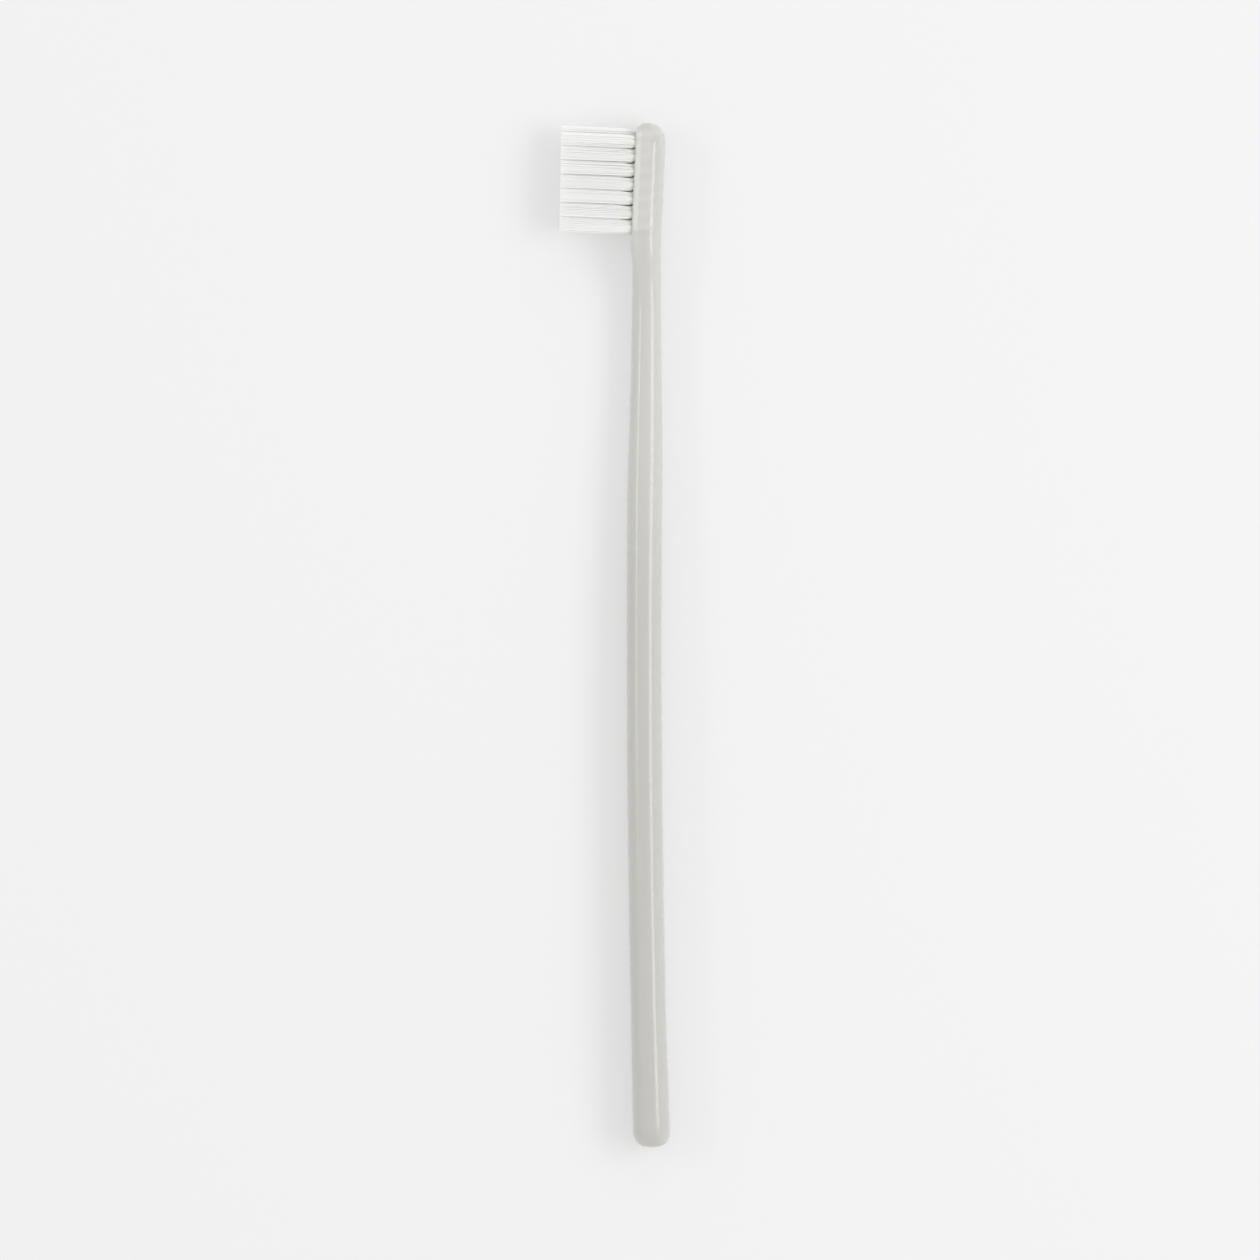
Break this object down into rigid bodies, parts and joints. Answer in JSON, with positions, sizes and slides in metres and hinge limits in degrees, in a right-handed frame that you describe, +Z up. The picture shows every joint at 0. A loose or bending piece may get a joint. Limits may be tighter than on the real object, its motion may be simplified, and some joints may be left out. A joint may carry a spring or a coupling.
{
  "type": "toothbrush",
  "caption": "Straight toothbrush with a one-piece rounded handle in translucent grey plastic, a slim neck and a compact head of straight-cut white nylon tufts.",
  "frame": {"origin": "centre of the brush's footprint, on the surface it lies on", "axes": "+Y along the brush towards the tip of the head, +X from the bristle tips towards the back, +Z up from the surface"},
  "size_m": [0.0186, 0.172, 0.0099],
  "materials": {
    "handle_plastic": "translucent light grey, polished mould",
    "bristle_nylon": "white nylon filaments, straight cut",
    "anchor_metal": "bright stamped strip"
  },
  "bodies": {
    "root": {"handle": "handle_plastic", "tuft_anchors": "anchor_metal", "tuft_r1_c1": "bristle_nylon", "tuft_r1_c2": "bristle_nylon", "tuft_r1_c3": "bristle_nylon", "tuft_r1_c4": "bristle_nylon", "tuft_r2_c1": "bristle_nylon", "tuft_r2_c2": "bristle_nylon", "tuft_r2_c3": "bristle_nylon", "tuft_r2_c4": "bristle_nylon", "tuft_r3_c1": "bristle_nylon", "tuft_r3_c2": "bristle_nylon", "tuft_r3_c3": "bristle_nylon", "tuft_r3_c4": "bristle_nylon", "tuft_r4_c1": "bristle_nylon", "tuft_r4_c2": "bristle_nylon", "tuft_r4_c3": "bristle_nylon", "tuft_r4_c4": "bristle_nylon", "tuft_r5_c1": "bristle_nylon", "tuft_r5_c2": "bristle_nylon", "tuft_r5_c3": "bristle_nylon", "tuft_r5_c4": "bristle_nylon", "tuft_r6_c1": "bristle_nylon", "tuft_r6_c2": "bristle_nylon", "tuft_r6_c3": "bristle_nylon", "tuft_r6_c4": "bristle_nylon", "tuft_r7_c1": "bristle_nylon", "tuft_r7_c2": "bristle_nylon", "tuft_r7_c3": "bristle_nylon", "tuft_r7_c4": "bristle_nylon"}
  },
  "joints": []
}
